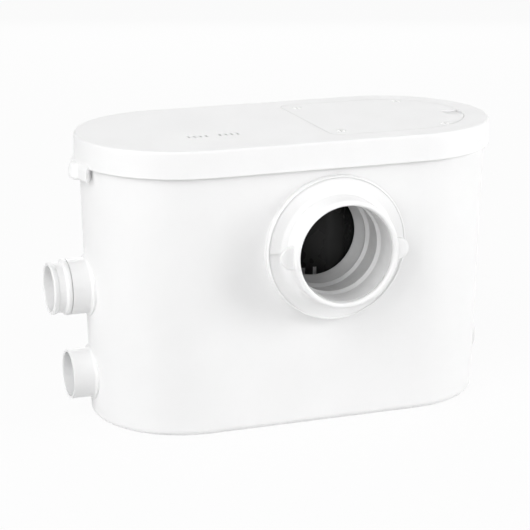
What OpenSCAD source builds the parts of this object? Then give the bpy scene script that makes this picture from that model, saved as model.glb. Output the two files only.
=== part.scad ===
// Macerator toilet pump: stadium shaped tank with overhanging lid, pan inlet collar on the
// front, discharge nozzle and waste inlet on the left end, pump set and controls inside.
// Millimetres, Z up, floor at z = 0, pan inlet towards -Y.

/* [Body] */
// Length over the lid
body_len = 433; // [425:1:500]
// Width over the lid
body_wid = 210; // [204:1:236]
// Height of the lid top above the floor
body_h = 290; // [284:1:340]
// Height of the lid skirt
skirt_h = 27; // [22:0.5:28]
// Overhang of the lid past the tank side
over = 5; // [4.8:0.1:7]
// Draft of the tank side from lid to floor
draft = 6.4; // [2:0.1:9]
// Wall of the tank and of the lid skirt
wall = 3.2; // [2.6:0.1:3.4]
// Round of the bottom edge
foot_r = 7; // [3:0.5:12]

/* [Pan inlet] */
// Inlet axis from the left end of the lid
inlet_run = 232.5; // [228:0.5:236]
// Inlet axis below the lid skirt
inlet_drop = 80; // [77:0.5:84]
// Inlet bore
inlet_d = 97; // [92:0.5:99]
// Reach of the collar in front of its seat
inlet_reach = 33; // [26:0.5:42]
// Outside of the inlet flange
flange_d = 146; // [142:0.5:148]

/* [Side ports] */
// Side port axes behind the tank middle
port_y = 8; // [4:0.5:12]
// Outside of the waste inlet spigot
waste_d = 50; // [47:0.5:51]
// Waste inlet axis above the floor
waste_z = 45; // [43:0.5:48]
// Reach of the waste inlet past the tank end
waste_reach = 23; // [16:0.5:34]
// Outside of the discharge nozzle neck
nozzle_d = 50; // [47:0.5:52]
// Discharge nozzle axis above the floor
nozzle_z = 136.5; // [136:0.5:144]
// Reach of the discharge nozzle past the tank end
nozzle_reach = 38.5; // [36:0.5:48]
// Blanking plug head
plug_d = 41; // [39:0.5:45]

/* [Access cover] */
// Left edge of the access cover
cover_x = 21; // [14:0.5:28]
// Lid margin round the access cover
cover_rim = 25.5; // [24:0.5:30]
// Gap round the access cover
cover_gap = 0.4; // [0.3:0.05:1]

/* [Pump set] */
// Motor can outside
motor_d = 80; // [76:0.5:82]
// Motor can length
motor_len = 70; // [66:0.5:74]
// Pump shaft
shaft_d = 12; // [10:0.5:13]
// Impeller outside
impeller_d = 64; // [58:0.5:65]
// Shaft axis above the floor
shaft_z = 62; // [60:0.5:62.5]
// Discharge pipe outside
pipe_d = 33; // [30:0.5:33.5]
// Wall of the discharge pipe
pipe_wall = 3; // [2.4:0.1:3.4]

/* [Controls] */
// Height of the control tray
tray_z = 171; // [168:0.5:176]
// Control housing along the tank
box_w = 60; // [56:0.5:64]
// Control housing across the tank
box_d = 96; // [88:0.5:100]
// Control housing height
box_h = 54; // [46:0.5:56]

/* [Fits] */
// Gap between pieces that move apart
gap = 0.3; // [0.25:0.05:0.4]

/* [Hidden] */
$fn = 48;
c = (body_len - body_wid) / 2;
lid_r = body_wid / 2;
skirt_z = body_h - skirt_h;
base_r = lid_r - over - draft;
slope = draft / skirt_z;
tilt = atan(slope);
inlet_x = inlet_run - body_len / 2;
inlet_z = skirt_z - inlet_drop;
lid_t = 3.5;
floor_t = 4;
rim_z = body_h - lid_t - 3.7 - gap;
boss_r = flange_d / 2;
clamp_r = boss_r - 6.7;
boss_y = base_r + slope * (inlet_z + boss_r) + 0.4;
bore_r = inlet_d / 2;
lip = 5;
seal_r = bore_r - 0.6;
sleeve_in = bore_r + 1.5;
sleeve_out = bore_r + 5;
basket_y0 = -46;
basket_y1 = 76;
basket_x0 = inlet_x - bore_r - 9.5;
basket_x1 = inlet_x + bore_r + 27.5;
basket_z0 = 14;
basket_z1 = 236;
pump_y = port_y + 14;
vol_x0 = basket_x0 - 38;
vol_x1 = basket_x0 - 4;
can_x1 = vol_x0 - 12;
can_x0 = can_x1 - motor_len;
can_r = motor_d / 2;
shaft_r = shaft_d / 2;
imp_r = impeller_d / 2;
bend_r = 21;
head_l = 12.5;
pipe_r = pipe_d / 2;
bore_p = pipe_r - pipe_wall;
out_x = vol_x0 + pipe_r + 0.1;
noz_wall = c + base_r + slope * nozzle_z;
noz_sock = noz_wall + 20;
noz_end = noz_wall + nozzle_reach;
noz_seat = noz_end - 34.5;
noz_in = noz_wall - 14;
noz_r = nozzle_d / 2;
noz_bore = noz_r - 2.8;
noz_mouth = noz_r - 2.2;
root = 3;
was_wall = c + base_r + slope * waste_z;
was_end = was_wall + waste_reach;
was_bore = waste_d / 2 - 2.4;
was_seat = was_wall + 4;
cov_r = lid_r - cover_rim;
cov_end = c + cov_r;
scr_x = [cover_x + 15.4, c + 37.5];
scr_y = cov_r - 18;
box_y = port_y + 6;
tray_x = (vol_x0 + basket_x0) / 2 - 22;
notch_y = -11;
fil_x = -89;
fil_y = -40;
fil_l = 74;
fil_w = 36;
fil_h = 14;
rib_y = 72;
rib_z = body_h - lid_t - 6.5;
lobe_r = 13;
tray_w = base_r + slope * tray_z - wall - 2.5;
sw_y = 6 - tray_w + 20;
gland_x = -84;
gland_z = skirt_z - 22;

function hw(z) = base_r + slope * z;

function arc(x, y, r, a0, a1, n) =
  [for (i = [0:n]) [x + r * cos(a0 + (a1 - a0) * i / n), y + r * sin(a0 + (a1 - a0) * i / n)]];

function hex(r) = [for (i = [0:5]) [r * cos(60 * i), r * sin(60 * i)]];

// Long body with round ends: the profile is turned at each end and drawn straight between
module stadium(pts) {
  translate([c, 0, 0]) rotate([0, 0, -90]) rotate_extrude(angle = 180, $fn = 96) polygon(pts);
  translate([-c, 0, 0]) rotate([0, 0, 90]) rotate_extrude(angle = 180, $fn = 96) polygon(pts);
  rotate([90, 0, 90]) linear_extrude(2 * c, center = true) {
    polygon(pts);
    mirror([1, 0]) polygon(pts);
  }
}

// Puts a turned shape on the pump axis, growing towards +X
module on_shaft(x) {
  translate([x, pump_y, shaft_z]) rotate([0, 90, 0]) children();
}

// Puts a turned shape on the pan inlet axis, growing outwards from the seat face
module on_inlet() {
  translate([inlet_x, -boss_y, inlet_z]) rotate([90, 0, 0]) children();
}

// Puts a turned shape on a left port axis, distances counted along -X from the middle
module on_left(z) {
  translate([0, port_y, z]) rotate([0, -90, 0]) children();
}

// Places of the two lid lugs: left end, and the back of the right end
module at_lugs() {
  translate([-c, 0, 0]) rotate([0, 0, 180]) children();
  translate([c, 0, 0]) rotate([0, 0, 60]) children();
}

// Puts a shape square on the back wall at the cable gland, growing outwards
module on_gland() {
  translate([gland_x, hw(gland_z), gland_z]) rotate([-90 - tilt, 0, 0]) children();
}

// Places of the casing screws round the pump axis, clear of the outlet
module at_casing_screws() {
  k = imp_r + 7;
  for (a = [20, 160, 250, 290]) rotate([0, 0, 90]) translate([k * cos(a), k * sin(a), 0]) children();
}

// Solid pipe stub with a hollow round where it leaves the wall
module rooted_tube(r, x0, x1) {
  rotate_extrude() polygon(concat([[0, x0 - 10], [r + root, x0 - 10]],
    arc(r + root, x0 + root, root, 270, 180, 5), [[r, x1], [0, x1]]));
}

// Plain ring
module ring(r1, r0, h) {
  rotate_extrude() translate([r0, 0]) square([r1 - r0, h]);
}

// Outline of the access cover, drawn in by a margin
module cover_shape(m) {
  k = 12;
  translate([c, 0]) circle(r = cov_r - m, $fn = 96);
  translate([cover_x + m + k, m - cov_r]) square([c - cover_x - m - k, 2 * (cov_r - m)]);
  translate([cover_x + m, m - cov_r + k]) square([k + 1, 2 * (cov_r - m - k)]);
  for (s = [-1, 1]) translate([cover_x + m + k, s * (cov_r - m - k)]) circle(r = k);
}

module at_screws() {
  for (x = scr_x, s = [-1, 1]) translate([x, s * scr_y, 0]) children();
}

// Flat box between two corners
module block(a, b) {
  translate(a) cube(b - a);
}

// Hinge cheeks of a flap valve; x counts from the seat face, z from the port axis
module flap_cheeks(rb) {
  for (s = [-1, 1]) translate([0, s * 7.5, 0]) difference() {
    block([-0.5, -1.5, rb - 7], [7.2, 1.5, rb - 2.4]);
    translate([4.2, 0, rb - 5.1]) rotate([90, 0, 0]) cylinder(h = 9, r = 1.52, center = true);
  }
}

module flap_pin(rb) {
  translate([4.2, 0, rb - 5.1]) rotate([90, 0, 0]) cylinder(h = 18.4, r = 1.5, center = true);
}

module flap(rb) {
  difference() {
    union() {
      intersection() {
        translate([gap, 0, 0]) rotate([0, 90, 0]) cylinder(h = 2, r = rb - 5.9);
        block([-1, -40, -40], [5, 40, rb - 7.5]);
      }
      block([gap, -5.4, rb - 12], [4.2, 5.4, rb - 5.1]);
      translate([4.2, 0, rb - 5.1]) rotate([90, 0, 0]) cylinder(h = 10.8, r = 2.8, center = true);
    }
    translate([4.2, 0, rb - 5.1]) rotate([90, 0, 0]) cylinder(h = 30, r = 1.56, center = true);
  }
}

// Injection moulded tank with its ports
module tank() {
  shell = concat([[0, 0]], arc(hw(foot_r) - foot_r, foot_r, foot_r, -90, 0, 5),
    [[hw(rim_z), rim_z], [hw(rim_z) - wall, rim_z]],
    arc(hw(floor_t + 5) - wall - 5, floor_t + 5, 5, 0, -90, 4), [[0, floor_t]]);
  color("white") difference() {
    union() {
      stadium(shell);
      translate([inlet_x, 6.2 - boss_y, inlet_z]) rotate([90, 0, 0]) cylinder(h = 6.2, r = boss_r, $fn = 96);
      on_left(nozzle_z) rooted_tube(noz_r + 3, noz_wall, noz_sock);
      on_left(waste_z) rooted_tube(waste_d / 2, was_wall, was_end);
      translate([was_wall - 10, port_y, waste_z]) rotate([0, 90, 0]) cylinder(h = 10.8, r = plug_d / 2 + 0.5);
      at_lugs() for (s = [-1, 1])
        block([hw(skirt_z) - 6, s * 17 - 3, skirt_z - 14], [hw(skirt_z) + 1.6, s * 17 + 3, skirt_z]);
      for (x = [tray_x - 25, tray_x + 15], m = [0, 1]) mirror([0, m, 0])
        block([x, tray_w - 8, tray_z - 13], [x + 10, tray_w + 4, tray_z - 3]);
    }
    on_inlet() translate([0, 0, -20]) cylinder(h = 40, r = sleeve_out + 0.3, $fn = 96);
    on_left(nozzle_z) translate([0, 0, noz_wall - 40]) cylinder(h = 80, r = noz_r);
    on_left(waste_z) translate([0, 0, was_wall - 40]) cylinder(h = 80 + waste_reach, r = was_bore);
    translate([was_wall - 40, port_y, waste_z]) rotate([0, 90, 0]) cylinder(h = 60, r = plug_d / 2 - 2.5);
    on_gland() cylinder(h = 20, r = 8.2, center = true);
  }
}

// Pan inlet collar: dished flange, projecting round collar, two finger lugs
module wc_flange() {
  e = inlet_reach;
  k = bore_r + 5.5;
  body = concat([[clamp_r, 0], [boss_r - 0.5, 0], [boss_r - 0.5, 4.6]],
    arc(boss_r - 1.5, 5, 1, 0, 180, 6), [[boss_r - 2.6, 4.8], [k + 8, 5]],
    arc(k + 8, 13, 8, 270, 180, 6), arc(k - 2.5, e - 2.5, 2.5, 0, 90, 4),
    arc(bore_r + 2.5, e - 2.5, 2.5, 90, 180, 4), [[bore_r, e - lip], [k - 2, e - lip], [k - 2, 3.2],
    [clamp_r, 3.2]]);
  lug = concat(arc(k + 1.5, 0, 11, -90, 90, 12), arc(0, 0, k - 1, 12, -12, 6));
  color("white") on_inlet() {
    rotate_extrude($fn = 96) polygon(body);
    rotate_extrude(angle = 180, $fn = 96)
      polygon([[k + 1, 5], [boss_r - 2.6, 4.6], [boss_r - 2.6, 5.8], [k + 6, 7.4], [k + 1, 9.6]]);
    for (m = [0, 1]) mirror([m, 0, 0]) translate([0, 0, e - 10]) linear_extrude(4) polygon(lug);
  }
}

// Push-in sleeve with two seal ridges, clamped behind the collar
module wc_sleeve() {
  d = boss_y + basket_y0 + 3;
  e = inlet_reach - lip - gap;
  ridges = [for (z = [-36, -6]) each [[sleeve_in, z - 3], [sleeve_in - 3.4, z - 0.8],
    [sleeve_in - 3.4, z + 0.8], [sleeve_in, z + 3]]];
  prof = concat([[seal_r, e], [bore_r + 3.3, e], [bore_r + 3.3, 3], [k_sleeve(), 3], [k_sleeve(), 0],
    [sleeve_out, 0], [sleeve_out, -d], [sleeve_in - 6.5, -d], [sleeve_in - 6, 2 - d], [sleeve_in, 15 - d]],
    ridges, [[sleeve_in, 0], [seal_r, 2]]);
  color("gainsboro") on_inlet() rotate_extrude($fn = 96) polygon(prof);
}

function k_sleeve() = clamp_r - gap;

// Cutting chamber: slotted bin behind the inlet, open on top
module basket() {
  k = 16;
  w = basket_x1 - basket_x0;
  d = basket_y1 - basket_y0;
  module plan(m) {
    translate([basket_x0 + m + k, basket_y0 + m]) square([w - 2 * (m + k), d - 2 * m]);
    translate([basket_x0 + m, basket_y0 + m + k]) square([w - 2 * m, d - 2 * (m + k)]);
    for (x = [basket_x0 + m + k, basket_x1 - m - k], y = [basket_y0 + m + k, basket_y1 - m - k])
      translate([x, y]) circle(r = k);
  }
  color([0.1, 0.1, 0.1]) difference() {
    union() {
      translate([0, 0, basket_z0]) linear_extrude(3) plan(0);
      translate([0, 0, basket_z0]) linear_extrude(basket_z1 - basket_z0) difference() {
        plan(0);
        plan(2.5);
      }
      translate([0, 0, basket_z1 - 3]) linear_extrude(3) difference() {
        plan(-3);
        plan(1);
      }
      for (x = [basket_x0 + 22, basket_x1 - 22], y = [basket_y0 + 22, basket_y1 - 22])
        translate([x, y, floor_t]) cylinder(h = basket_z0 - floor_t + 1, r = 6);
    }
    translate([inlet_x, 0, inlet_z]) rotate([90, 0, 0]) cylinder(h = 60, r = sleeve_out + 0.3, $fn = 96);
    on_shaft(basket_x0 - 5) cylinder(h = 10, r = imp_r + 2.5);
    for (i = [0:6], y = [basket_y0, basket_y1])
      translate([basket_x0 + 24 + 13 * i, y - 10, 24]) cube([5, 20, 88]);
    for (i = [0:5]) translate([basket_x1 - 10, basket_y0 + 26 + 13 * i, 24]) cube([20, 5, 88]);
  }
}

// Pump casing with its rising outlet
module pump_volute() {
  top = nozzle_z - bend_r - 1;
  color("dimgray") difference() {
    union() {
      on_shaft(vol_x0) cylinder(h = vol_x1 - vol_x0, r = imp_r + 11);
      translate([out_x, port_y, shaft_z]) cylinder(h = top - shaft_z, r = pipe_r);
    }
    on_shaft(vol_x0 + 6) cylinder(h = 40, r = imp_r + 3);
    on_shaft(vol_x0 - 1) cylinder(h = 20, r = 12.05);
    translate([out_x, port_y, shaft_z + 16]) cylinder(h = 80, r = bore_p);
    on_shaft(vol_x0 - 1) at_casing_screws() cylinder(h = 60, r = 2.7);
  }
}

// Suction plate with cutting notches round the eye
module suction_plate() {
  color("silver") difference() {
    union() {
      on_shaft(vol_x1) cylinder(h = 3.7, r = imp_r + 11);
      on_shaft(vol_x1) cylinder(h = 7, r = imp_r + 2.2);
    }
    on_shaft(vol_x1 - 1) cylinder(h = 20, r = 15);
    for (a = [0:60:300]) on_shaft(vol_x1 - 1) rotate([0, 0, a]) translate([15, 0, 0]) cylinder(h = 20, r = 4);
    on_shaft(vol_x1 - 1) at_casing_screws() cylinder(h = 60, r = 2.7);
  }
}

// Casing screws
module pump_screws() {
  color("silver") on_shaft(vol_x0) at_casing_screws() {
    translate([0, 0, -4]) difference() {
      cylinder(h = 4, r = 3.9);
      translate([0, 0, -1]) linear_extrude(3) polygon(hex(2.3));
    }
    cylinder(h = 37.5, r = 2.5);
  }
}

// Open vane impeller
module impeller() {
  color("black") difference() {
    on_shaft(vol_x0 + 8) {
      cylinder(h = 3, r = imp_r);
      cylinder(h = 22, r = 9.5);
      for (a = [0:72:288]) rotate([0, 0, a]) translate([7, -1.5, 1]) cube([imp_r - 8, 3, 20]);
    }
    on_shaft(vol_x0) cylinder(h = 60, r = shaft_r + 0.02);
  }
}

// Two armed cutter
module cutter_blade() {
  color("silver") difference() {
    on_shaft(vol_x1 + 8) linear_extrude(3) {
      circle(r = 11);
      for (a = [0, 180]) rotate(a)
        polygon([[0, -7], [imp_r - 6, -7], [imp_r - 2, 2], [imp_r - 10, 5], [0, 9]]);
    }
    on_shaft(vol_x1) cylinder(h = 60, r = shaft_r + 0.02);
  }
}

// Cap nut on the shaft end
module blade_nut() {
  color("silver") difference() {
    on_shaft(vol_x1 + 11.02) {
      linear_extrude(8) polygon(hex(10.5));
      translate([0, 0, 8]) cylinder(h = 4, r1 = 8.5, r2 = 5);
    }
    on_shaft(vol_x1) cylinder(h = 18.1, r = shaft_r + 0.02);
  }
}

// Pump shaft
module shaft() {
  color("silver") on_shaft(can_x0 + 2) cylinder(h = vol_x1 + 18 - can_x0 - 2, r = shaft_r);
}

// Rotor pack
module rotor_core() {
  color("gray") on_shaft(can_x0 + 13) difference() {
    cylinder(h = motor_len - 2 * head_l, r = can_r - 18);
    translate([0, 0, -1]) cylinder(h = motor_len, r = shaft_r + 0.02);
    for (a = [0:30:330]) rotate([0, 0, a]) translate([can_r - 18, 0, -1])
      cylinder(h = motor_len, r = 1.4, $fn = 16);
  }
}

// Stator pack
module stator_core() {
  color("gray") on_shaft(can_x0 + 13) difference() {
    cylinder(h = motor_len - 2 * head_l, r = can_r - 4.05);
    translate([0, 0, -1]) cylinder(h = motor_len, r = can_r - 17.5);
    for (a = [0:30:330]) rotate([0, 0, a]) translate([can_r - 12, 0, -1])
      cylinder(h = motor_len, r = 2.2, $fn = 16);
  }
}

// Winding heads
module windings() {
  color("peru") for (x = [can_x0 + 6, can_x0 + motor_len - 12]) on_shaft(x) rotate_extrude()
    polygon([[can_r - 15, 0], [can_r - 8, 0], [can_r - 6, 2], [can_r - 6, 5], [can_r - 8, 7],
      [can_r - 15, 7]]);
}

// Motor can
module motor_can() {
  color("gray") on_shaft(can_x0) ring(can_r, can_r - 4, motor_len);
}

// Front bracket with the bearing seat
module motor_bracket() {
  color("silver") on_shaft(can_x1) rotate_extrude()
    polygon([[14.02, 0], [can_r, 0], [can_r, 4], [imp_r + 2, 4], [imp_r + 2, 12], [14.02, 12]]);
}

// Rear cover with the bearing seat
module motor_cover() {
  color("silver") on_shaft(can_x0 - 6) rotate_extrude()
    polygon([[0, 0], [can_r - 3, 0], [can_r, 3], [can_r, 6], [18, 6], [18, 16], [14.02, 16],
      [14.02, 6.5], [0, 6.5]]);
}

module bearing() {
  rotate_extrude() polygon([[shaft_r + 0.05, 0], [9.2, 0], [9.2, 0.8], [10.8, 0.8], [10.8, 0], [14, 0],
    [14, 9], [10.8, 9], [10.8, 8.2], [9.2, 8.2], [9.2, 9], [shaft_r + 0.05, 9]]);
}

// Ball bearing at the pump end
module front_bearing() {
  color("silver") on_shaft(can_x1) bearing();
}

// Ball bearing at the far end
module rear_bearing() {
  color("silver") on_shaft(can_x0 + 0.6) bearing();
}

// Shaft seal in the casing back
module shaft_seal() {
  color("black") on_shaft(vol_x0) rotate_extrude()
    polygon([[shaft_r + 0.05, 0], [12, 0], [12, 6], [shaft_r + 3, 6], [shaft_r + 1.5, 3],
      [shaft_r + 0.05, 2.5]]);
}

// Rubber saddles under the motor
module motor_saddles() {
  color([0.15, 0.15, 0.15]) difference() {
    for (x = [can_x0 + 8, can_x1 - 20])
      block([x, pump_y - 28, floor_t], [x + 12, pump_y + 28, shaft_z - 14]);
    on_shaft(can_x0 - 20) cylinder(h = motor_len + 40, r = can_r);
  }
}

// Rising pipe from the pump casing to the nozzle
module discharge_pipe() {
  z0 = nozzle_z - bend_r;
  color("dimgray") {
    difference() {
      union() {
        translate([out_x, port_y, z0 - 8.8]) cylinder(h = 8.8, r = pipe_r + 3.2);
        translate([out_x - bend_r, port_y, z0]) rotate([90, 0, 0])
          rotate_extrude(angle = 90) translate([bend_r, 0]) circle(r = pipe_r);
        on_left(nozzle_z) translate([0, 0, bend_r - out_x])
          cylinder(h = noz_seat - 5.2 - bend_r + out_x, r = pipe_r);
      }
      translate([out_x, port_y, z0 - 20]) cylinder(h = 19.5, r = pipe_r + 0.1);
      translate([out_x, port_y, z0 - 20]) cylinder(h = 20, r = bore_p);
      translate([out_x - bend_r, port_y, z0]) rotate([90, 0, 0])
        rotate_extrude(angle = 90) translate([bend_r, 0]) circle(r = bore_p);
      on_left(nozzle_z) translate([0, 0, bend_r - out_x]) cylinder(h = 200, r = bore_p);
    }
  }
}

// Worm drive clip on the pipe socket
module hose_clip() {
  z0 = nozzle_z - bend_r - 8;
  color("silver") {
    translate([out_x, port_y, z0]) ring(pipe_r + 4.2, pipe_r + 3.2, 7);
    translate([out_x, port_y, z0]) block([-5, -pipe_r - 10, -0.5], [5, -pipe_r - 3.9, 7.5]);
    translate([out_x, port_y - pipe_r - 7, z0 + 3.5]) rotate([0, 90, 0]) cylinder(h = 18, r = 2.8);
  }
}

// Discharge nozzle pushed into the tank socket, with the flap seat
module discharge_nozzle() {
  n = noz_r;
  prof = concat([[pipe_r + 0.2, noz_in], [n - 0.1, noz_in], [n - 0.1, noz_sock], [n + 1.2, noz_sock],
    [n + 1.2, noz_sock + 0.8], [n + 3, noz_sock + 0.8]], arc(n + 1, noz_sock + 3.2, 2, 0, 70, 4),
    [[n, noz_sock + 6.2], [n, noz_end - 6], [n + 1, noz_end - 4.6]],
    arc(n - 0.2, noz_end - 1.6, 1.6, 0, 90, 4),
    arc(noz_mouth + 1, noz_end - 1, 1, 90, 180, 3),
    [[noz_mouth, noz_end - 17], [noz_bore, noz_end - 17], [noz_bore, noz_seat],
    [noz_bore - 7.9, noz_seat], [noz_bore - 7.9, noz_seat - 4], [pipe_r + 0.2, noz_seat - 4]]);
  color("white") {
    on_left(nozzle_z) rotate_extrude() polygon(prof);
    translate([-noz_seat, port_y, nozzle_z]) mirror([1, 0, 0]) flap_cheeks(noz_bore);
  }
}

// Hinge pin of the nozzle flap
module nrv_pin() {
  color("silver") translate([-noz_seat, port_y, nozzle_z]) mirror([1, 0, 0]) flap_pin(noz_bore);
}

// Non-return flap in the nozzle, opens outwards
module nrv_flap() {
  color([0.15, 0.15, 0.15]) translate([-noz_seat, port_y, nozzle_z]) mirror([1, 0, 0]) flap(noz_bore);
}

// Flap seat pressed into the waste inlet
module inlet_seat() {
  color("dimgray") {
    on_left(waste_z) translate([0, 0, was_seat]) ring(was_bore - 0.02, was_bore - 7.9, 4);
    translate([-was_seat, port_y, waste_z]) flap_cheeks(was_bore);
  }
}

// Hinge pin of the waste inlet flap
module inlet_pin() {
  color("silver") translate([-was_seat, port_y, waste_z]) flap_pin(was_bore);
}

// Flap of the waste inlet, opens into the tank
module inlet_flap() {
  color([0.15, 0.15, 0.15]) translate([-was_seat, port_y, waste_z]) flap(was_bore);
}

// Blanking plug in the right hand inlet
module blank_plug() {
  p = plug_d / 2;
  color("white") translate([was_wall + 0.8, port_y, waste_z]) rotate([0, 90, 0]) rotate_extrude()
    polygon(concat([[0, -3], [p - 5.5, -3], [p - 5.5, -9], [p - 2.6, -9], [p - 2.6, 0], [p, 0]],
      arc(p - 2.5, 5.5, 2.5, 0, 75, 4), [[p - 6, 7.6], [p - 7, 6.4], [0, 6.4]]));
}

// Cable gland body through the back wall
module cable_gland() {
  color("dimgray") on_gland() difference() {
    union() {
      linear_extrude(6) polygon(hex(13));
      translate([0, 0, 6]) cylinder(h = 9, r1 = 11, r2 = 8.5);
      translate([0, 0, -12]) cylinder(h = 13, r = 8);
    }
    translate([0, 0, -20]) cylinder(h = 60, r = 4);
  }
}

// Gland nut inside the tank
module gland_nut() {
  color("dimgray") on_gland() translate([0, 0, -wall - 5]) difference() {
    linear_extrude(5) polygon(hex(13));
    translate([0, 0, -1]) cylinder(h = 10, r = 8.02);
  }
}

// Tray across the tank that carries the controls
module control_tray() {
  color("gray") difference() {
    block([tray_x - 35, -tray_w, tray_z - 3], [tray_x + 35, tray_w, tray_z]);
    translate([tray_x, sw_y, tray_z - 10]) cylinder(h = 20, r = 5.2);
  }
}

// Block on the control tray, drawn in by a margin from the housing's outside
module in_box(m, z0, z1) {
  block([tray_x - box_w / 2 + m, box_y - box_d / 2 + m, tray_z + z0],
    [tray_x + box_w / 2 - m, box_y + box_d / 2 - m, tray_z + z1]);
}

// Splash proof control housing
module control_box() {
  color("dimgray") difference() {
    union() {
      in_box(0, 0, box_h);
      for (y = [box_y - 30, box_y + 30])
        block([tray_x - box_w / 2 - 4, y - 6, tray_z], [tray_x + box_w / 2 + 4, y + 6, tray_z + 4]);
    }
    in_box(2, 2, box_h + 6);
  }
}

// Lid of the control housing
module control_cover() {
  color("dimgray") {
    in_box(-1, box_h, box_h + 3);
    difference() {
      in_box(2.2, box_h - 4, box_h);
      in_box(4.2, box_h - 5, box_h);
    }
  }
}

// Circuit board on four posts
module circuit_board() {
  color("green") {
    in_box(6, 8, 9.6);
    for (x = [-1, 1], y = [-1, 1])
      translate([tray_x + x * (box_w / 2 - 11), box_y + y * (box_d / 2 - 11), tray_z + 2])
        cylinder(h = 6.5, r = 2.5);
    block([tray_x - 22, box_y - 40, tray_z + 9.6], [tray_x + 4, box_y - 26, tray_z + 21]);
    block([tray_x - 21, box_y - 22, tray_z + 9.6], [tray_x - 8, box_y - 6, tray_z + 25]);
  }
}

// Motor run capacitor on the board
module capacitor() {
  color("lightgray") translate([tray_x + 8, box_y + 4, tray_z + 9.6]) rotate_extrude()
    polygon([[0, 0], [15, 0], [15, box_h - 18], [13.5, box_h - 16], [0, box_h - 16]]);
}

// Air pressure level switch
module pressure_switch() {
  color("darkgray") translate([tray_x, sw_y, tray_z]) difference() {
    union() {
      cylinder(h = 18, r = 16);
      translate([0, 0, 18]) cylinder(h = 3, r1 = 16, r2 = 9);
      cylinder(h = 30, r = 9);
    }
    translate([0, 0, 8]) cylinder(h = 40, r = 4.05);
  }
}

// Plunger of the level switch
module switch_plunger() {
  color("red") translate([tray_x, sw_y, tray_z + 8 + gap]) {
    cylinder(h = 25, r = 4);
    translate([0, 0, 25]) cylinder(h = 2, r1 = 4, r2 = 2.5);
  }
}

// Air bell that dips into the sump
module air_bell() {
  color("dimgray") translate([tray_x, sw_y, 0]) rotate_extrude()
    polygon([[3, tray_z], [5, tray_z], [5, tray_z - 3], [9, tray_z - 3], [9, tray_z - 6], [5, tray_z - 6],
      [5, 62], [14, 50], [14, 26], [12, 26], [12, 49], [3, 61]]);
}

// Lid with skirt, cover pocket, vent slots and end lugs
module lid() {
  r = lid_r;
  shell = concat([[r, skirt_z], [r - 0.4, body_h - 2.5]], arc(r - 2.9, body_h - 2.5, 2.5, 0, 90, 5),
    [[0, body_h], [0, body_h - lid_t], [r - wall, body_h - lid_t], [r - wall, skirt_z]]);
  z0 = skirt_z - 13;
  lug = [[r - 0.8, z0 + 1], [r + 0.2, z0], [r + 1.8, z0], [r + 2.8, z0 + 1], [r + 2.8, z0 + 12],
    [r - 0.3, z0 + 17], [r - 0.8, z0 + 17]];
  lobe = concat([[0, z0 - 1.5]], arc(lobe_r - 4, z0 + 2.5, 4, -90, 0, 5),
    arc(lobe_r - 4, z0 + 11, 4, 0, 90, 5), [[0, z0 + 15]]);
  color("white") difference() {
    union() {
      stadium(shell);
      translate([0, 0, body_h - 10]) linear_extrude(8) cover_shape(-4);
      for (y = [-rib_y, 0, rib_y]) block([-c - 38, y - 1, rib_z], [cover_x - 3, y + 1, body_h - 2]);
      for (x = [-c - 28, -20]) block([x - 1, -rib_y - 3, rib_z], [x + 1, rib_y + 3, body_h - 2]);
      at_lugs() {
        rotate([0, 0, -16]) rotate_extrude(angle = 32, $fn = 96) polygon(lug);
        for (a = [-14.5, 12.5]) rotate([0, 0, a]) rotate_extrude(angle = 2, $fn = 96)
          polygon([[hw(rim_z) + 0.8, z0 + 2], [r, z0 + 2], [r - 0.5, z0 + 15], [hw(rim_z) + 0.8, z0 + 15]]);
        difference() {
          translate([r - 4.5, 0, 0]) rotate_extrude() polygon(lobe);
          translate([0, 0, z0 - 9]) cylinder(h = 60, r = r + 0.5, $fn = 96);
        }
      }
    }
    translate([0, 0, body_h - 6]) linear_extrude(10) cover_shape(0);
    translate([0, 0, body_h - 30]) linear_extrude(60) cover_shape(19);
    translate([0, 0, body_h - 30]) at_screws() cylinder(h = 40, r = 2.4);
    for (x = [-27, 5], i = [0:3]) translate([fil_x + x + 6 * i, fil_y, body_h - 10])
      block([0, -4, 0], [3, 4, 11]);
  }
}

// Gasket between lid and tank rim
module lid_gasket() {
  r = hw(rim_z);
  color([0.2, 0.2, 0.2]) stadium([[r - wall - 0.6, rim_z + gap], [r + 0.4, rim_z + gap],
    [r + 0.4, body_h - lid_t], [r - wall - 0.6, body_h - lid_t]]);
}

// Block of the filter's outline drawn in by m, between two heights from the lid's underside
module in_filter(m, z0, z1) {
  translate([fil_x, fil_y, body_h - lid_t])
    block([m - fil_l / 2, m - fil_w / 2, z0], [fil_l / 2 - m, fil_w / 2 - m, z1]);
}

// Filter holder under the vent slots
module filter_holder() {
  color("white") difference() {
    in_filter(0, -fil_h, 0);
    in_filter(2, 2 - fil_h, 1);
    for (i = [-2.5:2.5]) translate([fil_x + 11 * i, fil_y, body_h - 30])
      block([-3, -fil_w / 2 + 8, 0], [3, fil_w / 2 - 8, 30]);
  }
}

// Carbon filter pad
module vent_filter() {
  color([0.1, 0.1, 0.1]) in_filter(2.2, 2 - fil_h, -3);
}

// Screwed access cover, flush with the lid
module access_cover() {
  color("white") difference() {
    translate([0, 0, body_h - 4]) linear_extrude(4) cover_shape(cover_gap);
    at_screws() translate([0, 0, body_h - 10]) cylinder(h = 20, r = 2.4);
    at_screws() translate([0, 0, body_h - 2.6]) cylinder(h = 5, r = 5);
    translate([cov_end, notch_y, body_h - 2.4]) {
      block([-15, -11, 0], [3, 11, 9]);
      block([-20, -6, 0], [-14, 6, 9]);
      for (s = [-1, 1]) translate([-15, s * 6, 0]) cylinder(h = 9, r = 5);
    }
    translate([cov_end, notch_y, body_h - 6]) block([-18.6, -5, 0], [-15, 5, 9]);
  }
}

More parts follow.
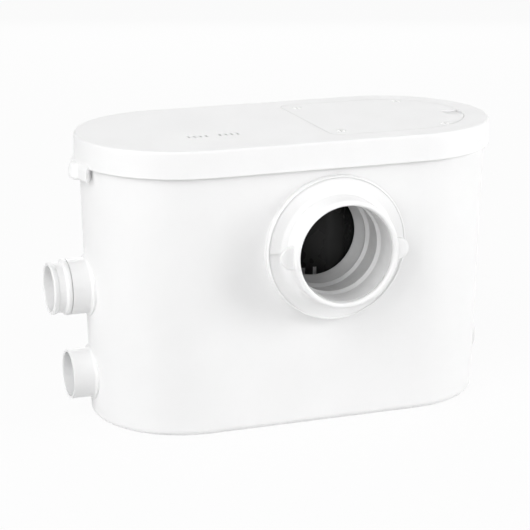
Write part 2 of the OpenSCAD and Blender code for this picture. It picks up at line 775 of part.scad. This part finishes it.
// Flat gasket under the access cover
module cover_seal() {
  color([0.2, 0.2, 0.2]) translate([0, 0, body_h - 6]) linear_extrude(2 - gap) difference() {
    cover_shape(1.5);
    cover_shape(18.5);
    for (x = scr_x, s = [-1, 1]) translate([x, s * scr_y]) circle(r = 2.6);
  }
}

// Cover screws with cross recess
module cover_screws() {
  color("lightgray") at_screws() difference() {
    union() {
      translate([0, 0, body_h - 14]) cylinder(h = 12, r = 2);
      translate([0, 0, body_h - 2.6]) cylinder(h = 2.4, r = 4.5);
    }
    for (a = [0, 90]) rotate([0, 0, a]) block([-2.6, -0.5, body_h - 1.6], [2.6, 0.5, body_h + 1]);
  }
}

tank();
wc_flange();
wc_sleeve();
basket();
pump_volute();
suction_plate();
pump_screws();
impeller();
cutter_blade();
blade_nut();
shaft();
rotor_core();
stator_core();
windings();
motor_can();
motor_bracket();
motor_cover();
front_bearing();
rear_bearing();
shaft_seal();
motor_saddles();
discharge_pipe();
hose_clip();
discharge_nozzle();
nrv_pin();
nrv_flap();
inlet_seat();
inlet_pin();
inlet_flap();
blank_plug();
cable_gland();
gland_nut();
control_tray();
control_box();
control_cover();
circuit_board();
capacitor();
pressure_switch();
switch_plunger();
air_bell();
lid();
lid_gasket();
filter_holder();
vent_filter();
access_cover();
cover_seal();
cover_screws();
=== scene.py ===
import math

import bpy
import bmesh
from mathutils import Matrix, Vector, noise


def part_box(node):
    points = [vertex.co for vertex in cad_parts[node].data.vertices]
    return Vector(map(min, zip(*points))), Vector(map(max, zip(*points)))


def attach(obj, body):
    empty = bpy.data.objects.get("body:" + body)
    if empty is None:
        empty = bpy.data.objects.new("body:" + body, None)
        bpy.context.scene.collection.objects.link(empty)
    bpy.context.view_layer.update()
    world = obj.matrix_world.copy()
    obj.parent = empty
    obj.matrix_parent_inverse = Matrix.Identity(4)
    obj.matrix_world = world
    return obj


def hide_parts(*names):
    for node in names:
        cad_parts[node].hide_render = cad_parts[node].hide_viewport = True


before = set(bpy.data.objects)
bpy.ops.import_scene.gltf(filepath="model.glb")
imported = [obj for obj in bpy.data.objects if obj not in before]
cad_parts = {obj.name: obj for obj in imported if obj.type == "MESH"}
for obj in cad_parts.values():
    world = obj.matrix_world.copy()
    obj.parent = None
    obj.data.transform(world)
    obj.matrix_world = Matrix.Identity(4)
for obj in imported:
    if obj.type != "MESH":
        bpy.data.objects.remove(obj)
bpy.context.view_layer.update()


# Camera: a long lens a little to the left of the pan inlet and above the lid, looking down on the
# tank, so that the lid, the front and the left end with its ports all show. The frame is square.
def placed(name, data):
    """A new object with that data, linked into the scene."""
    made = bpy.data.objects.new(name, data)
    bpy.context.scene.collection.objects.link(made)
    return made


def set_up(thing, at, aim):
    """Stands a camera or lamp at one point and turns it to another."""
    thing.location = at
    thing.rotation_euler = (Vector(aim) - Vector(at)).to_track_quat("-Z", "Y").to_euler()


CAMERA_AT = (-0.6653, -1.7888, 0.6794)
CAMERA_AIM = (-0.0213, 0.0, 0.1414)
LENS_MM = 130.64
SENSOR_MM = 36.0
FAR_CLIP = 50.0
camera_data = bpy.data.cameras.new("camera")
camera_data.lens = LENS_MM
camera_data.sensor_width = SENSOR_MM
camera_data.clip_end = FAR_CLIP
camera = placed("camera", camera_data)
set_up(camera, CAMERA_AT, CAMERA_AIM)
bpy.context.scene.camera = camera


# Studio: a white paper floor that runs out of view under a dim sky, two smaller soft lamps at the right
# of the front that throw the collar's shadow, a wide and a high one at the left, weak ones above and
# behind, and a snooted spot beside the camera that reaches only through the pan inlet.
def linear(hex_colour):
    """sRGB hex colour as linear RGBA."""
    parts = [int(hex_colour[i:i + 2], 16) / 255 for i in (1, 3, 5)]
    return [p / 12.92 if p <= 0.04045 else ((p + 0.055) / 1.055) ** 2.4 for p in parts] + [1.0]


def add(tree, kind, links=None, values=None, **settings):
    """Adds one shader node: its own settings, fixed socket values, and what feeds its sockets."""
    made = tree.nodes.new(kind)
    for name, value in settings.items():
        setattr(made, name, value)
    for socket, value in (values or {}).items():
        made.inputs[socket].default_value = value
    for socket, source in (links or {}).items():
        tree.links.new(source, made.inputs[socket])
    return made


def new_material(name):
    """A material with an empty node tree."""
    made = bpy.data.materials.new(name)
    made.use_nodes = True
    made.node_tree.nodes.clear()
    return made, made.node_tree


def seen_directly(tree):
    """1 for rays that show the studio itself: from the camera, in gloss, or through something clear."""
    path = add(tree, "ShaderNodeLightPath").outputs
    first = add(tree, "ShaderNodeMath", {0: path["Is Camera Ray"], 1: path["Is Glossy Ray"]},
                operation="MAXIMUM")
    return add(tree, "ShaderNodeMath", {0: first.outputs[0], 1: path["Is Transmission Ray"]},
               operation="MAXIMUM").outputs[0]


SHOWN_WHITE = linear("#FFFFFF")
SKY_LIGHT = 0.34
scene_world = bpy.data.worlds.new("studio_sky")
scene_world.use_nodes = True
sky = scene_world.node_tree
sky.nodes.clear()
sky_strength = add(sky, "ShaderNodeMapRange", {"Value": seen_directly(sky)},
                   {"To Min": SKY_LIGHT, "To Max": 1.0})
sky_light = add(sky, "ShaderNodeBackground", {"Strength": sky_strength.outputs[0]},
                {"Color": SHOWN_WHITE})
add(sky, "ShaderNodeOutputWorld", {"Surface": sky_light.outputs[0]})
bpy.context.scene.world = scene_world
bpy.context.scene.view_settings.view_transform = "Standard"

# Uncoated studio paper: an even dull white that keeps the part's soft shadow and fades out behind it.
FLOOR_HALF = 9.0
FLOOR_DROP = 0.0004
FLOOR_SHOWS_WHITE = 0.94
paper, tree = new_material("paper_white_studio")
paper_body = add(tree, "ShaderNodeBsdfDiffuse", values={"Color": linear("#E0E0E0")})
paper_glow = add(tree, "ShaderNodeEmission", values={"Color": SHOWN_WHITE, "Strength": 1.0})
paper_share = add(tree, "ShaderNodeMath", {0: seen_directly(tree)}, {1: FLOOR_SHOWS_WHITE},
                  operation="MULTIPLY")
paper_mix = add(tree, "ShaderNodeMixShader", {0: paper_share.outputs[0], 1: paper_body.outputs[0],
                                              2: paper_glow.outputs[0]})
add(tree, "ShaderNodeOutputMaterial", {"Surface": paper_mix.outputs[0]})
floor_mesh = bpy.data.meshes.new("floor")
floor_mesh.from_pydata([(x * FLOOR_HALF, y * FLOOR_HALF, -FLOOR_DROP)
                        for x, y in ((-1, -1), (1, -1), (1, 1), (-1, 1))], [], [(0, 1, 2, 3)])
floor_mesh.materials.append(paper)
floor = placed("floor", floor_mesh)


def softbox(name, at, aim, size, watts):
    """A square soft lamp that the camera itself doesn't see."""
    lamp = bpy.data.lights.new(name, "AREA")
    lamp.shape = "SQUARE"
    lamp.size = size
    lamp.energy = watts
    holder = placed(name, lamp)
    holder.visible_camera = False
    set_up(holder, at, aim)


TANK_MIDDLE = (0.0, 0.0, 0.15)
LID_LEFT = (-0.1, 0.0, 0.25)
softbox("right_high", at=(1.95, -1.35, 1.2), aim=TANK_MIDDLE, size=0.6, watts=13)
softbox("right_low", at=(2.2, -1.0, 0.5), aim=TANK_MIDDLE, size=0.8, watts=22)
softbox("left_wide", at=(-2.2, -1.6, 1.4), aim=TANK_MIDDLE, size=2.6, watts=57)
softbox("left_high", at=(-2.4, -0.3, 1.3), aim=TANK_MIDDLE, size=0.8, watts=3)
softbox("top", at=(-1.0, -1.0, 2.2), aim=LID_LEFT, size=1.0, watts=7)
softbox("back", at=(0.8, 2.2, 0.9), aim=TANK_MIDDLE, size=1.6, watts=11)

SNOOT_AT = (-0.62, -1.8, 0.69)
SNOOT_AIM = (0.004, -0.133, 0.204)
SNOOT_WATTS = 55
SNOOT_CONE = math.radians(2.2)
SNOOT_FADE = 0.7
SNOOT_RADIUS = 0.02
snoot_lamp = bpy.data.lights.new("snoot", "SPOT")
snoot_lamp.energy = SNOOT_WATTS
snoot_lamp.spot_size = SNOOT_CONE
snoot_lamp.spot_blend = SNOOT_FADE
snoot_lamp.shadow_soft_size = SNOOT_RADIUS
set_up(placed("snoot", snoot_lamp), SNOOT_AT, SNOOT_AIM)


# Tank: one injection moulding in white ABS with round ends, drafted sides and the two pipe stubs of
# the left end moulded on. The tool surface is a fine satin, so it glows softly and mirrors nothing.
def per_metre(feature_mm):
    """Texture scale for a feature of that size."""
    return 1000.0 / feature_mm


def surface(name):
    """A new material, its node tree, and the place on the piece that its patterns follow."""
    made, tree = new_material(name)
    return made, tree, add(tree, "ShaderNodeTexCoord").outputs["Object"]


# A mix node's colour sockets share their names with its other sockets, so they go by number.
MIX_A, MIX_B, MIX_RESULT = 6, 7, 2
ABS_LIGHT = "#F2F2F2"
ABS_DARK = "#EDEDED"
ABS_FLOW_MM = 55
ABS_SATIN_MM = 14
ABS_UNEVEN = 0.04
# The real grain is about 0.2 mm; it is drawn at 1 mm so that it shows.
ABS_GRAIN_MM = 1.0


def white_abs(name, rough, grain_depth_mm, edge_mm):
    """Moulded ABS: faint flow shading, uneven satin, fine spark eroded grain, edges a little broken."""
    made, tree, place = surface(name)
    flow = add(tree, "ShaderNodeTexNoise", {"Vector": place},
               {"Scale": per_metre(ABS_FLOW_MM), "Detail": 2.0})
    tint = add(tree, "ShaderNodeMix", {"Factor": flow.outputs["Fac"]},
               {MIX_A: linear(ABS_DARK), MIX_B: linear(ABS_LIGHT)}, data_type="RGBA")
    satin = add(tree, "ShaderNodeTexNoise", {"Vector": place},
                {"Scale": per_metre(ABS_SATIN_MM), "Detail": 3.0})
    gloss = add(tree, "ShaderNodeMapRange", {"Value": satin.outputs["Fac"]},
                {"From Min": 0.3, "From Max": 0.7,
                 "To Min": rough - ABS_UNEVEN, "To Max": rough + ABS_UNEVEN})
    edge = add(tree, "ShaderNodeBevel", values={"Radius": edge_mm / 1000}, samples=6)
    grain = add(tree, "ShaderNodeTexNoise", {"Vector": place},
                {"Scale": per_metre(ABS_GRAIN_MM), "Detail": 2.0})
    skin = add(tree, "ShaderNodeBump", {"Height": grain.outputs["Fac"], "Normal": edge.outputs[0]},
               {"Strength": 0.35, "Distance": grain_depth_mm / 1000})
    shell = add(tree, "ShaderNodeBsdfPrincipled",
                {"Base Color": tint.outputs[MIX_RESULT], "Roughness": gloss.outputs[0],
                 "Normal": skin.outputs[0]},
                {"IOR": 1.54, "Subsurface Weight": 0.3, "Subsurface Scale": 0.004,
                 "Subsurface Radius": (1.0, 1.0, 1.0)})
    add(tree, "ShaderNodeOutputMaterial", {"Surface": shell.outputs[0]})
    return made


def dress(material, slot, *names):
    """Gives CAD pieces their finish."""
    for name in names:
        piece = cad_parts[name]
        piece.data.materials.clear()
        piece.data.materials.append(material)


# Satin ABS: a clean white with a soft sheen, its edges just broken.
tank_abs = white_abs("ABS_white_moulded_satin", rough=0.36, grain_depth_mm=0.02, edge_mm=0.5)
dress(tank_abs, "white_abs", "tank")


# Pan inlet: a white ABS collar with two finger lugs, pushed on its seat, which clamps a soft grey
# sleeve behind it. The sleeve is moulded elastomer, and its two ridges seal on the pan's spigot.
# Soft edged ABS: the collar's tool was polished round its edges, so lip and rim turn the light softly.
collar_abs = white_abs("ABS_white_moulded_soft_edged", rough=0.36, grain_depth_mm=0.02, edge_mm=1.8)
dress(collar_abs, "white_abs", "wc_flange")

# Moulded elastomer: pale grey, soft to the eye, and a little clouded.
BLOOM_MM = 9
sleeve_soft, tree, place = surface("elastomer_grey_moulded")
bloom = add(tree, "ShaderNodeTexNoise", {"Vector": place}, {"Scale": per_metre(BLOOM_MM), "Detail": 3.0})
tint = add(tree, "ShaderNodeMix", {"Factor": bloom.outputs["Fac"]},
           {MIX_A: linear("#D4D4D4"), MIX_B: linear("#E2E2E2")}, data_type="RGBA")
skin = add(tree, "ShaderNodeBump", {"Height": bloom.outputs["Fac"]},
           {"Strength": 0.2, "Distance": 0.0001})
soft = add(tree, "ShaderNodeBsdfPrincipled",
           {"Base Color": tint.outputs[MIX_RESULT], "Normal": skin.outputs[0]},
           {"Roughness": 0.42, "IOR": 1.5, "Subsurface Weight": 0.3, "Subsurface Scale": 0.006,
            "Subsurface Radius": (1.0, 1.0, 1.0)})
add(tree, "ShaderNodeOutputMaterial", {"Surface": soft.outputs[0]})
dress(sleeve_soft, "soft_grey", "wc_sleeve")


# Cutting chamber: a black polypropylene bin that stands on four feet behind the inlet. It is moulded
# against polished steel, so it stays glossy and shows dark highlights through the inlet.
WAX_CLOUD_MM = 30
WAX_GLOSSIER = 0.05
WAX_DULLER = 0.06
WAX_EDGE = 0.0005


def waxy_moulding(name, light, dark, rough, grain_mm):
    """Moulded plastic with a waxy sheen, faint flow clouds and a soft grain."""
    made, tree, place = surface(name)
    cloud = add(tree, "ShaderNodeTexNoise", {"Vector": place},
                {"Scale": per_metre(WAX_CLOUD_MM), "Detail": 3.0})
    tint = add(tree, "ShaderNodeMix", {"Factor": cloud.outputs["Fac"]},
               {MIX_A: linear(dark), MIX_B: linear(light)}, data_type="RGBA")
    wax = add(tree, "ShaderNodeMapRange", {"Value": cloud.outputs["Fac"]},
              {"From Min": 0.3, "From Max": 0.7,
               "To Min": rough - WAX_GLOSSIER, "To Max": rough + WAX_DULLER})
    grain = add(tree, "ShaderNodeTexNoise", {"Vector": place},
                {"Scale": per_metre(grain_mm), "Detail": 2.0})
    edge = add(tree, "ShaderNodeBevel", values={"Radius": WAX_EDGE}, samples=4)
    skin = add(tree, "ShaderNodeBump", {"Height": grain.outputs["Fac"], "Normal": edge.outputs[0]},
               {"Strength": 0.3, "Distance": 0.00004})
    shell = add(tree, "ShaderNodeBsdfPrincipled",
                {"Base Color": tint.outputs[MIX_RESULT], "Roughness": wax.outputs[0],
                 "Normal": skin.outputs[0]},
                {"IOR": 1.49})
    add(tree, "ShaderNodeOutputMaterial", {"Surface": shell.outputs[0]})
    return made


# Glossy black polypropylene: near black with soft bright streaks. The grain of these plastics is under
# 0.5 mm wide; it is drawn at 1.2 to 2 mm so that it shows.
black_pp = waxy_moulding("PP_black_moulded_gloss", light="#444444", dark="#3A3A3A",
                         rough=0.24, grain_mm=2.0)
dress(black_pp, "black_pp", "basket", "impeller", "pressure_switch")


# Pump: grey polypropylene volute closed by a stainless suction plate with cutting notches, four
# through screws, and on the shaft a black impeller, a two armed cutter and its cap nut.
WAVE_RADIANS = 20


def wave_scale(pitch_mm):
    """Scale of a wave texture for that pitch; at scale 1 the wave turns by 20 radians to the metre."""
    return 2 * math.pi * per_metre(pitch_mm) / WAVE_RADIANS


shaft_low, shaft_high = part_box("shaft")
FROM_SHAFT = (0, -(shaft_low[1] + shaft_high[1]) / 2, -(shaft_low[2] + shaft_high[2]) / 2)
SMEAR_MM = 6
# Marks of rolling and blasting are under 0.1 mm wide; they are drawn at 0.7 mm so that they show.
GRIT_MM = 0.7
MARKS_GLOSSIER = 0.05
MARKS_DULLER = 0.07


def steel(name, light, dark, rough, ring_mm=None):
    """Bright steel: soft smears, with tool rings about the pump shaft where a pitch is given, or grit."""
    made, tree, place = surface(name)
    smear = add(tree, "ShaderNodeTexNoise", {"Vector": place},
                {"Scale": per_metre(SMEAR_MM), "Detail": 3.0})
    tint = add(tree, "ShaderNodeMix", {"Factor": smear.outputs["Fac"]},
               {MIX_A: linear(dark), MIX_B: linear(light)}, data_type="RGBA")
    if ring_mm:
        on_axis = add(tree, "ShaderNodeMapping", {"Vector": place}, {"Location": FROM_SHAFT})
        marks = add(tree, "ShaderNodeTexWave", {"Vector": on_axis.outputs[0]},
                    {"Scale": wave_scale(ring_mm), "Distortion": 0.6, "Detail": 2.0},
                    wave_type="RINGS", rings_direction="X").outputs["Fac"]
    else:
        marks = add(tree, "ShaderNodeTexNoise", {"Vector": place},
                    {"Scale": per_metre(GRIT_MM), "Detail": 2.0}).outputs["Fac"]
    gloss = add(tree, "ShaderNodeMapRange", {"Value": marks},
                {"To Min": rough - MARKS_GLOSSIER, "To Max": rough + MARKS_DULLER})
    cut = add(tree, "ShaderNodeBump", {"Height": marks}, {"Strength": 0.15, "Distance": 0.00003})
    metal = add(tree, "ShaderNodeBsdfPrincipled",
                {"Base Color": tint.outputs[MIX_RESULT], "Roughness": gloss.outputs[0],
                 "Normal": cut.outputs[0]},
                {"Metallic": 1.0})
    add(tree, "ShaderNodeOutputMaterial", {"Surface": metal.outputs[0]})
    return made


# Moulded grey polypropylene: an even mid grey with a waxy, rather matt face.
grey_pp = waxy_moulding("PP_grey_moulded_matt", light="#7A7F83", dark="#6C7175",
                        rough=0.42, grain_mm=1.2)
# Turned stainless: bright, with rings round the shaft that catch the light in a fan. They are about
# 0.1 mm apart; they are drawn at 0.8 mm so that they show.
turned_steel = steel("stainless_turned", light="#D2D1CE", dark="#B4B3B0", rough=0.26, ring_mm=0.8)
# Rolled stainless: bright and clear, with a faint even grit.
rolled_steel = steel("stainless_rolled_bright", light="#DCDBD8", dark="#C4C3C0", rough=0.24)
dress(grey_pp, "grey_pp", "pump_volute")
dress(turned_steel, "stainless", "suction_plate", "cutter_blade", "blade_nut", "shaft")
dress(rolled_steel, "stainless", "pump_screws")


# Motor: a stove enamelled can closed by two cast aluminium covers with ball bearings, with laminated
# rotor and stator packs and copper winding heads inside. It lies on two rubber saddles.
# Stove enamel on pressed steel: an even dark skin with fine orange peel under a soft gloss.
PEEL_MM = 1.6
SHADE_MM = 40
enamel, tree, place = surface("stove_enamel_dark_grey")
peel = add(tree, "ShaderNodeTexNoise", {"Vector": place}, {"Scale": per_metre(PEEL_MM), "Detail": 1.0})
shade = add(tree, "ShaderNodeTexNoise", {"Vector": place}, {"Scale": per_metre(SHADE_MM), "Detail": 2.0})
tint = add(tree, "ShaderNodeMix", {"Factor": shade.outputs["Fac"]},
           {MIX_A: linear("#34373A"), MIX_B: linear("#3F4346")}, data_type="RGBA")
skin = add(tree, "ShaderNodeBump", {"Height": peel.outputs["Fac"]},
           {"Strength": 0.25, "Distance": 0.0001})
paint = add(tree, "ShaderNodeBsdfPrincipled",
            {"Base Color": tint.outputs[MIX_RESULT], "Normal": skin.outputs[0]},
            {"Roughness": 0.32, "IOR": 1.5, "Coat Weight": 0.4, "Coat Roughness": 0.15})
add(tree, "ShaderNodeOutputMaterial", {"Surface": paint.outputs[0]})
dress(enamel, "painted_can", "motor_can")

# Die cast aluminium: dull pale grey, clouded where the metal chilled first, with fine pores. The pores
# are about 0.2 mm wide; they are drawn at 1.2 mm so that they show.
PORE_MM = 1.2
CHILL_MM = 18
cast, tree, place = surface("aluminium_die_cast")
pores = add(tree, "ShaderNodeTexNoise", {"Vector": place}, {"Scale": per_metre(PORE_MM), "Detail": 4.0})
chill = add(tree, "ShaderNodeTexNoise", {"Vector": place}, {"Scale": per_metre(CHILL_MM), "Detail": 2.0})
tint = add(tree, "ShaderNodeMix", {"Factor": chill.outputs["Fac"]},
           {MIX_A: linear("#A6A8AA"), MIX_B: linear("#C3C5C6")}, data_type="RGBA")
skin = add(tree, "ShaderNodeBump", {"Height": pores.outputs["Fac"]},
           {"Strength": 0.4, "Distance": 0.0001})
metal = add(tree, "ShaderNodeBsdfPrincipled",
            {"Base Color": tint.outputs[MIX_RESULT], "Normal": skin.outputs[0]},
            {"Metallic": 1.0, "Roughness": 0.5})
add(tree, "ShaderNodeOutputMaterial", {"Surface": metal.outputs[0]})
dress(cast, "cast_alu", "motor_bracket", "motor_cover")

# Stacked electrical steel: dark edges of many sheets side by side along the shaft. A sheet is 0.5 mm
# thick; every second joint is drawn so that the stack shows.
SHEET_MM = 0.5
sheets, tree, place = surface("electrical_steel_stacked")
stack = add(tree, "ShaderNodeTexWave", {"Vector": place}, {"Scale": wave_scale(2 * SHEET_MM)},
            wave_type="BANDS", bands_direction="X")
tint = add(tree, "ShaderNodeMix", {"Factor": stack.outputs["Fac"]},
           {MIX_A: linear("#4E5053"), MIX_B: linear("#6A6C6F")}, data_type="RGBA")
skin = add(tree, "ShaderNodeBump", {"Height": stack.outputs["Fac"]},
           {"Strength": 0.4, "Distance": 0.0001})
metal = add(tree, "ShaderNodeBsdfPrincipled",
            {"Base Color": tint.outputs[MIX_RESULT], "Normal": skin.outputs[0]},
            {"Metallic": 0.9, "Roughness": 0.45})
add(tree, "ShaderNodeOutputMaterial", {"Surface": metal.outputs[0]})
dress(sheets, "lamination", "rotor_core", "stator_core")

# Varnished copper wire: warm brown turns about the shaft with a wet gloss. The wire is 0.45 mm thick;
# it is drawn at twice that so that the turns show.
WIRE_MM = 0.45
wire, tree, place = surface("copper_wire_varnished")
on_axis = add(tree, "ShaderNodeMapping", {"Vector": place}, {"Location": FROM_SHAFT})
turns = add(tree, "ShaderNodeTexWave", {"Vector": on_axis.outputs[0]},
            {"Scale": wave_scale(2 * WIRE_MM), "Distortion": 1.0},
            wave_type="RINGS", rings_direction="X")
tint = add(tree, "ShaderNodeMix", {"Factor": turns.outputs["Fac"]},
           {MIX_A: linear("#8A4A26"), MIX_B: linear("#C47A48")}, data_type="RGBA")
skin = add(tree, "ShaderNodeBump", {"Height": turns.outputs["Fac"]},
           {"Strength": 0.6, "Distance": 0.0003})
metal = add(tree, "ShaderNodeBsdfPrincipled",
            {"Base Color": tint.outputs[MIX_RESULT], "Normal": skin.outputs[0]},
            {"Metallic": 1.0, "Roughness": 0.35, "Coat Weight": 0.5})
add(tree, "ShaderNodeOutputMaterial", {"Surface": metal.outputs[0]})
dress(wire, "copper", "windings")
dress(turned_steel, "stainless", "front_bearing", "rear_bearing")

# Moulded EPDM rubber: near black and matt, with a faint grey bloom. Its grain is about 0.1 mm wide; it
# is drawn at 0.8 mm so that it shows.
DUST_MM = 22
RUBBER_GRAIN_MM = 0.8
rubber, tree, place = surface("EPDM_black_moulded_matt")
dust = add(tree, "ShaderNodeTexNoise", {"Vector": place}, {"Scale": per_metre(DUST_MM), "Detail": 4.0})
tint = add(tree, "ShaderNodeMix", {"Factor": dust.outputs["Fac"]},
           {MIX_A: linear("#1A1A1B"), MIX_B: linear("#2B2B2C")}, data_type="RGBA")
grain = add(tree, "ShaderNodeTexNoise", {"Vector": place},
            {"Scale": per_metre(RUBBER_GRAIN_MM), "Detail": 2.0})
skin = add(tree, "ShaderNodeBump", {"Height": grain.outputs["Fac"]},
           {"Strength": 0.3, "Distance": 0.00006})
body = add(tree, "ShaderNodeBsdfPrincipled",
           {"Base Color": tint.outputs[MIX_RESULT], "Normal": skin.outputs[0]},
           {"Roughness": 0.72, "IOR": 1.47})
add(tree, "ShaderNodeOutputMaterial", {"Surface": body.outputs[0]})
dress(rubber, "black_rubber", "shaft_seal", "motor_saddles")


# Discharge: a grey pipe clipped on the volute rises and bends to the white nozzle, which is pushed in
# its socket on the tank. A rubber flap on a steel pin inside keeps the pumped water from coming back.
dress(grey_pp, "grey_pp", "discharge_pipe")
dress(rolled_steel, "stainless", "hose_clip", "nrv_pin")
dress(tank_abs, "white_abs", "discharge_nozzle")
dress(rubber, "black_rubber", "nrv_flap")


# Waste inlet and unused inlet: a pressed in grey seat with a rubber flap on a pin at the left, and at
# the right a white plug with a dished head. The mains lead passes a grey gland in the back wall, held
# by a nut inside.
dress(grey_pp, "grey_pp", "inlet_seat", "cable_gland", "gland_nut")
dress(rolled_steel, "stainless", "inlet_pin")
dress(rubber, "black_rubber", "inlet_flap")
dress(tank_abs, "white_abs", "blank_plug")


# Controls: a grey tray across the tank carries a closed housing with board and capacitor, and a level
# switch whose red plunger is lifted by the air that a bell traps over the water.
dress(grey_pp, "grey_pp", "control_tray", "control_box", "control_cover", "air_bell")

# Glass epoxy board under green mask: a glossy dark green with paler lines where the tracks run.
TRACK_MM = 12
board, tree, place = surface("glass_epoxy_green_mask")
tracks = add(tree, "ShaderNodeTexBrick", {"Vector": place},
             {"Scale": per_metre(TRACK_MM), "Mortar Size": 0.05, "Color1": linear("#14562E"),
              "Color2": linear("#176035"), "Mortar": linear("#2C8A4E")})
skin = add(tree, "ShaderNodeBump", {"Height": tracks.outputs["Fac"]},
           {"Strength": 0.2, "Distance": 0.00005})
resin = add(tree, "ShaderNodeBsdfPrincipled",
            {"Base Color": tracks.outputs["Color"], "Normal": skin.outputs[0]},
            {"Roughness": 0.35, "IOR": 1.55})
add(tree, "ShaderNodeOutputMaterial", {"Surface": resin.outputs[0]})
dress(board, "board", "circuit_board")

# Moulded PBT: a pale grey case with a low, even sheen.
pale_pbt = waxy_moulding("PBT_pale_grey_moulded", light="#D0D2D4", dark="#C6C8CA",
                         rough=0.35, grain_mm=1.5)
dress(pale_pbt, "cap_case", "capacitor")
# Moulded acetal: a slick, strong red that marks the piece that moves.
red_acetal = waxy_moulding("acetal_red_moulded", light="#B3211B", dark="#A01A16",
                           rough=0.28, grain_mm=1.5)
dress(red_acetal, "red_pom", "switch_plunger")


# Lid: a white ABS moulding that drops over the tank rim on a rubber gasket and hooks its end lugs over
# catches on the tank. A carbon foam pad in a holder under the vent slots takes up smell.
# Fine matt ABS: the same white as the tank with a duller face, so the flat top stays even.
lid_abs = white_abs("ABS_white_moulded_fine_matt", rough=0.52, grain_depth_mm=0.03, edge_mm=1.0)
dress(lid_abs, "white_abs", "lid", "filter_holder")
dress(rubber, "black_rubber", "lid_gasket")

# Carbon loaded foam: black and open celled, so it swallows light. A cell is about 1.5 mm wide, and its
# hollow is painted darker than its rim, painted shade in the pits.
CELL_MM = 1.5
foam, tree, place = surface("carbon_foam_open_cell")
cell_pits_and_shade = add(tree, "ShaderNodeTexVoronoi", {"Vector": place}, {"Scale": per_metre(CELL_MM)})
# Painted shade: the tint runs from near black in each cell's pit to dark grey at its rim.
tint = add(tree, "ShaderNodeMix", {"Factor": cell_pits_and_shade.outputs["Distance"]},
           {MIX_A: linear("#0C0C0C"), MIX_B: linear("#2A2A2A")}, data_type="RGBA")
skin = add(tree, "ShaderNodeBump", {"Height": cell_pits_and_shade.outputs["Distance"]},
           {"Strength": 0.9, "Distance": 0.0006})
body = add(tree, "ShaderNodeBsdfPrincipled",
           {"Base Color": tint.outputs[MIX_RESULT], "Normal": skin.outputs[0]},
           {"Roughness": 0.95})
add(tree, "ShaderNodeOutputMaterial", {"Surface": body.outputs[0]})

# The pad fills the box of its CAD block, with rounded edges, a low crown and small pits.
PAD_CUTS = 35
PAD_ROUND = 0.0022
PAD_CROWN = 0.0007
PIT_DEPTH = 0.0003
PIT_MM = 2.5
low, high = (Vector(corner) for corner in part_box("vent_filter"))
middle = (low + high) / 2
half = (high - low) / 2
core = half - Vector((PAD_ROUND, PAD_ROUND, PAD_ROUND))
pad_shape = bmesh.new()
bmesh.ops.create_cube(pad_shape, size=2.0)
bmesh.ops.subdivide_edges(pad_shape, edges=pad_shape.edges[:], cuts=PAD_CUTS, use_grid_fill=True)
for corner in pad_shape.verts:
    u, v, w = corner.co
    on_box = Vector((u * half.x, v * half.y, w * half.z))
    inner = Vector(max(-room, min(room, at)) for room, at in zip(core, on_box))
    outward = (on_box - inner).normalized()
    pit = PIT_DEPTH * abs(noise.noise(on_box * per_metre(PIT_MM)))
    crown = PAD_CROWN * (1 - u * u) * (1 - v * v) if w > 0 else 0.0
    corner.co = middle + inner + outward * (PAD_ROUND - pit) + Vector((0, 0, crown))
pad_mesh = bpy.data.meshes.new("filter_pad")
pad_shape.to_mesh(pad_mesh)
pad_shape.free()
pad_mesh.shade_smooth()
pad_mesh.materials.append(foam)
filter_pad = placed("filter_pad", pad_mesh)
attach(filter_pad, "lid_set")
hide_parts("vent_filter")


# Access cover: a flush white ABS plate over the cutting chamber, screwed down on a flat rubber seal
# with four stainless screws, with a notch at its end to lift it by.
dress(lid_abs, "white_abs", "access_cover")
dress(rubber, "black_rubber", "cover_seal")
# Blasted stainless: a soft grey close to the plate's own brightness, with no clear reflections.
blasted_steel = steel("stainless_blasted", light="#CECECD", dark="#BDBDBC", rough=0.42)
dress(blasted_steel, "stainless", "cover_screws")
